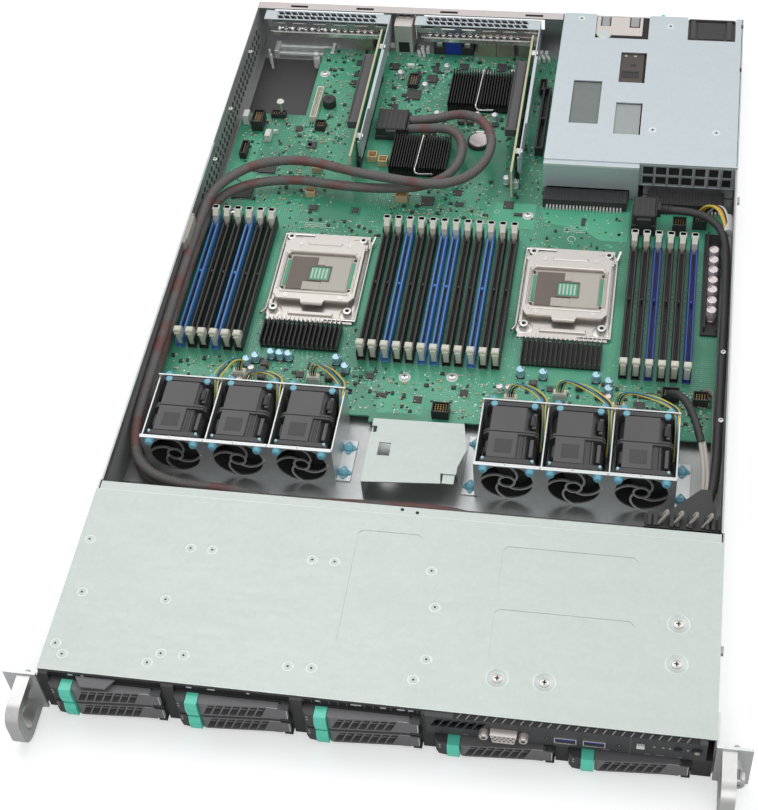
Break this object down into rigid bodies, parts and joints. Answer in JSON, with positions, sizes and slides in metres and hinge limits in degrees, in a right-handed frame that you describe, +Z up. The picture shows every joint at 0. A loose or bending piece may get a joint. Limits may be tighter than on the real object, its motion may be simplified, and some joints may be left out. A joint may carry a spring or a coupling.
{
  "type": "one-unit rack server",
  "caption": "One-unit rack server with its top cover off: drive trays with pull levers, fans in baskets, main board with sockets and memory slots, riser cards and a caged power supply.",
  "frame": {"origin": "middle of the width and of the whole depth, on the underside of the tray", "axes": "+X to the right seen from the front, +Y to the rear, +Z up"},
  "size_m": [0.4826, 0.764, 0.0432],
  "materials": {
    "chassis_steel": "galvanised sheet, satin",
    "cover_steel": "galvanised sheet, satin, faint green-grey",
    "plated_steel": "bright nickel or zinc plate, satin",
    "ear_metal": "zinc-plated, satin",
    "handle_aluminium": "brushed",
    "screw_steel": "nickel plated",
    "dark_plastic": "fine moulded texture",
    "pale_plastic": "smooth",
    "carrier_grey": "fine moulded texture",
    "lever_grey": "fine moulded texture",
    "fan_black": "moulded",
    "board_green": "solder mask, slightly glossy",
    "slot_black": "moulded",
    "latch_ivory": "moulded",
    "heat_sink_black": "black anodised",
    "part_black": "moulded",
    "supply_steel": "zinc plated",
    "release_green": "smooth",
    "cable_black": "braided sleeve"
  },
  "bodies": {
    "chassis": {"chassis_base": "chassis_steel", "front_cover": "cover_steel", "rack_ears": "ear_metal", "rack_handles": "handle_aluminium", "bay_frame": "dark_plastic", "front_panel": "dark_plastic", "backplane": "board_green", "motherboard": "board_green", "memory_slots": "slot_black", "socket_frames": "plated_steel", "heat_sinks": "heat_sink_black", "board_parts": "part_black", "fan_brackets": "plated_steel", "fan_housings": "dark_plastic", "bridge_cover": "plated_steel", "supply_cage": "chassis_steel", "rear_ports": "plated_steel", "signal_cables": "cable_black", "power_cables": "cable_black"},
    "asset_tag": {"asset_tag": "dark_plastic"},
    "thumbscrew_right": {"thumbscrew_right": "screw_steel"},
    "thumbscrew_left": {"thumbscrew_left": "screw_steel"},
    "id_button": {"id_button": "pale_plastic"},
    "reset_button": {"reset_button": "dark_plastic"},
    "power_button": {"power_button": "dark_plastic"},
    "front_latches": {"memory_latches_front": "latch_ivory"},
    "rear_latches": {"memory_latches_rear": "latch_ivory"},
    "load_plate_1": {"load_plate_1": "plated_steel"},
    "load_plate_2": {"load_plate_2": "plated_steel"},
    "supply_module": {"supply_module": "supply_steel"},
    "supply_release": {"supply_release": "release_green"},
    "supply_blank": {"supply_blank": "supply_steel"},
    "riser_left": {"riser_left": "plated_steel"},
    "riser_right": {"riser_right": "plated_steel"},
    "drive_tray_1": {"drive_tray_1": "carrier_grey"},
    "tray_lever_1": {"tray_lever_1": "lever_grey"},
    "drive_tray_2": {"drive_tray_2": "carrier_grey"},
    "tray_lever_2": {"tray_lever_2": "lever_grey"},
    "drive_tray_3": {"drive_tray_3": "carrier_grey"},
    "tray_lever_3": {"tray_lever_3": "lever_grey"},
    "drive_tray_4": {"drive_tray_4": "carrier_grey"},
    "tray_lever_4": {"tray_lever_4": "lever_grey"},
    "drive_tray_5": {"drive_tray_5": "carrier_grey"},
    "tray_lever_5": {"tray_lever_5": "lever_grey"},
    "drive_tray_6": {"drive_tray_6": "carrier_grey"},
    "tray_lever_6": {"tray_lever_6": "lever_grey"},
    "drive_tray_7": {"drive_tray_7": "carrier_grey"},
    "tray_lever_7": {"tray_lever_7": "lever_grey"},
    "drive_tray_8": {"drive_tray_8": "carrier_grey"},
    "tray_lever_8": {"tray_lever_8": "lever_grey"},
    "fan_rotor_1": {"fan_rotor_1": "fan_black"},
    "fan_rotor_2": {"fan_rotor_2": "fan_black"},
    "fan_rotor_3": {"fan_rotor_3": "fan_black"},
    "fan_rotor_4": {"fan_rotor_4": "fan_black"},
    "fan_rotor_5": {"fan_rotor_5": "fan_black"},
    "fan_rotor_6": {"fan_rotor_6": "fan_black"},
    "socket_lever_1a": {"socket_lever_1a": "plated_steel"},
    "socket_lever_1b": {"socket_lever_1b": "plated_steel"},
    "socket_lever_2a": {"socket_lever_2a": "plated_steel"},
    "socket_lever_2b": {"socket_lever_2b": "plated_steel"}
  },
  "joints": [
    {"name": "drive_tray_1_slide", "type": "slide", "parent": "chassis", "child": "drive_tray_1", "axis": [0, -1, 0], "range_m": [0, 0.16]},
    {"name": "tray_lever_1_swing", "type": "hinge", "parent": "drive_tray_1", "child": "tray_lever_1", "pos_m": [-0.1386, -0.3489, 0.012], "axis": [0, 0, 1], "range_deg": [0, 60]},
    {"name": "drive_tray_2_slide", "type": "slide", "parent": "chassis", "child": "drive_tray_2", "axis": [0, -1, 0], "range_m": [0, 0.16]},
    {"name": "tray_lever_2_swing", "type": "hinge", "parent": "drive_tray_2", "child": "tray_lever_2", "pos_m": [-0.0536, -0.3489, 0.012], "axis": [0, 0, 1], "range_deg": [0, 60]},
    {"name": "drive_tray_3_slide", "type": "slide", "parent": "chassis", "child": "drive_tray_3", "axis": [0, -1, 0], "range_m": [0, 0.16]},
    {"name": "tray_lever_3_swing", "type": "hinge", "parent": "drive_tray_3", "child": "tray_lever_3", "pos_m": [0.0314, -0.3489, 0.012], "axis": [0, 0, 1], "range_deg": [0, 60]},
    {"name": "drive_tray_4_slide", "type": "slide", "parent": "chassis", "child": "drive_tray_4", "axis": [0, -1, 0], "range_m": [0, 0.16]},
    {"name": "tray_lever_4_swing", "type": "hinge", "parent": "drive_tray_4", "child": "tray_lever_4", "pos_m": [0.1164, -0.3489, 0.012], "axis": [0, 0, 1], "range_deg": [0, 60]},
    {"name": "drive_tray_5_slide", "type": "slide", "parent": "chassis", "child": "drive_tray_5", "axis": [0, -1, 0], "range_m": [0, 0.16]},
    {"name": "tray_lever_5_swing", "type": "hinge", "parent": "drive_tray_5", "child": "tray_lever_5", "pos_m": [0.2014, -0.3489, 0.012], "axis": [0, 0, 1], "range_deg": [0, 60]},
    {"name": "drive_tray_6_slide", "type": "slide", "parent": "chassis", "child": "drive_tray_6", "axis": [0, -1, 0], "range_m": [0, 0.16]},
    {"name": "tray_lever_6_swing", "type": "hinge", "parent": "drive_tray_6", "child": "tray_lever_6", "pos_m": [-0.1386, -0.3489, 0.029], "axis": [0, 0, 1], "range_deg": [0, 60]},
    {"name": "drive_tray_7_slide", "type": "slide", "parent": "chassis", "child": "drive_tray_7", "axis": [0, -1, 0], "range_m": [0, 0.16]},
    {"name": "tray_lever_7_swing", "type": "hinge", "parent": "drive_tray_7", "child": "tray_lever_7", "pos_m": [-0.0536, -0.3489, 0.029], "axis": [0, 0, 1], "range_deg": [0, 60]},
    {"name": "drive_tray_8_slide", "type": "slide", "parent": "chassis", "child": "drive_tray_8", "axis": [0, -1, 0], "range_m": [0, 0.16]},
    {"name": "tray_lever_8_swing", "type": "hinge", "parent": "drive_tray_8", "child": "tray_lever_8", "pos_m": [0.0314, -0.3489, 0.029], "axis": [0, 0, 1], "range_deg": [0, 60]},
    {"name": "fan_rotor_1_spin", "type": "hinge", "parent": "chassis", "child": "fan_rotor_1", "pos_m": [-0.1777, -0.114, 0.0213], "axis": [0, 1, 0], "continuous": true},
    {"name": "fan_rotor_2_spin", "type": "hinge", "parent": "chassis", "child": "fan_rotor_2", "pos_m": [-0.1302, -0.114, 0.0213], "axis": [0, 1, 0], "continuous": true},
    {"name": "fan_rotor_3_spin", "type": "hinge", "parent": "chassis", "child": "fan_rotor_3", "pos_m": [-0.0827, -0.114, 0.0213], "axis": [0, 1, 0], "continuous": true},
    {"name": "fan_rotor_4_spin", "type": "hinge", "parent": "chassis", "child": "fan_rotor_4", "pos_m": [0.0667, -0.114, 0.0213], "axis": [0, 1, 0], "continuous": true},
    {"name": "fan_rotor_5_spin", "type": "hinge", "parent": "chassis", "child": "fan_rotor_5", "pos_m": [0.1142, -0.114, 0.0213], "axis": [0, 1, 0], "continuous": true},
    {"name": "fan_rotor_6_spin", "type": "hinge", "parent": "chassis", "child": "fan_rotor_6", "pos_m": [0.1617, -0.114, 0.0213], "axis": [0, 1, 0], "continuous": true},
    {"name": "front_latches_swing", "type": "hinge", "parent": "chassis", "child": "front_latches", "pos_m": [0, -0.02325, 0.011], "axis": [1, 0, 0], "range_deg": [0, 25]},
    {"name": "rear_latches_swing", "type": "hinge", "parent": "chassis", "child": "rear_latches", "pos_m": [0, 0.10875, 0.011], "axis": [-1, 0, 0], "range_deg": [0, 25]},
    {"name": "load_plate_1_lift", "type": "hinge", "parent": "chassis", "child": "load_plate_1", "pos_m": [-0.1075, 0.093, 0.0148], "axis": [-1, 0, 0], "range_deg": [0, 110]},
    {"name": "socket_lever_1a_lift", "type": "hinge", "parent": "chassis", "child": "socket_lever_1a", "pos_m": [-0.1075, 0.101, 0.0107], "axis": [-1, 0, 0], "range_deg": [0, 100]},
    {"name": "socket_lever_1b_lift", "type": "hinge", "parent": "chassis", "child": "socket_lever_1b", "pos_m": [-0.1075, 0.009, 0.0107], "axis": [1, 0, 0], "range_deg": [0, 100]},
    {"name": "load_plate_2_lift", "type": "hinge", "parent": "chassis", "child": "load_plate_2", "pos_m": [0.092, 0.093, 0.0148], "axis": [-1, 0, 0], "range_deg": [0, 110]},
    {"name": "socket_lever_2a_lift", "type": "hinge", "parent": "chassis", "child": "socket_lever_2a", "pos_m": [0.092, 0.101, 0.0107], "axis": [-1, 0, 0], "range_deg": [0, 100]},
    {"name": "socket_lever_2b_lift", "type": "hinge", "parent": "chassis", "child": "socket_lever_2b", "pos_m": [0.092, 0.009, 0.0107], "axis": [1, 0, 0], "range_deg": [0, 100]},
    {"name": "supply_module_slide", "type": "slide", "parent": "chassis", "child": "supply_module", "axis": [0, 1, 0], "range_m": [0, 0.2]},
    {"name": "supply_release_push", "type": "slide", "parent": "supply_module", "child": "supply_release", "axis": [1, 0, 0], "range_m": [0, 0.0022], "stiffness_N_per_m": 400},
    {"name": "supply_blank_slide", "type": "slide", "parent": "chassis", "child": "supply_blank", "axis": [0, 1, 0], "range_m": [0, 0.06]},
    {"name": "riser_left_lift", "type": "slide", "parent": "chassis", "child": "riser_left", "axis": [0, 0, 1], "range_m": [0, 0.05]},
    {"name": "riser_right_lift", "type": "slide", "parent": "chassis", "child": "riser_right", "axis": [0, 0, 1], "range_m": [0, 0.05]},
    {"name": "thumbscrew_right_turn", "type": "hinge", "parent": "chassis", "child": "thumbscrew_right", "pos_m": [0.23256, -0.3407, 0.0216], "axis": [0, 1, 0], "continuous": true},
    {"name": "thumbscrew_left_turn", "type": "hinge", "parent": "chassis", "child": "thumbscrew_left", "pos_m": [-0.23256, -0.3407, 0.0216], "axis": [0, 1, 0], "continuous": true},
    {"name": "id_button_push", "type": "slide", "parent": "chassis", "child": "id_button", "axis": [0, 1, 0], "range_m": [0, 0.0012], "stiffness_N_per_m": 400},
    {"name": "reset_button_push", "type": "slide", "parent": "chassis", "child": "reset_button", "axis": [0, 1, 0], "range_m": [0, 0.0012], "stiffness_N_per_m": 400},
    {"name": "power_button_push", "type": "slide", "parent": "chassis", "child": "power_button", "axis": [0, 1, 0], "range_m": [0, 0.0012], "stiffness_N_per_m": 400},
    {"name": "asset_tag_pull", "type": "slide", "parent": "chassis", "child": "asset_tag", "axis": [0, -1, 0], "range_m": [0, 0.04]}
  ]
}
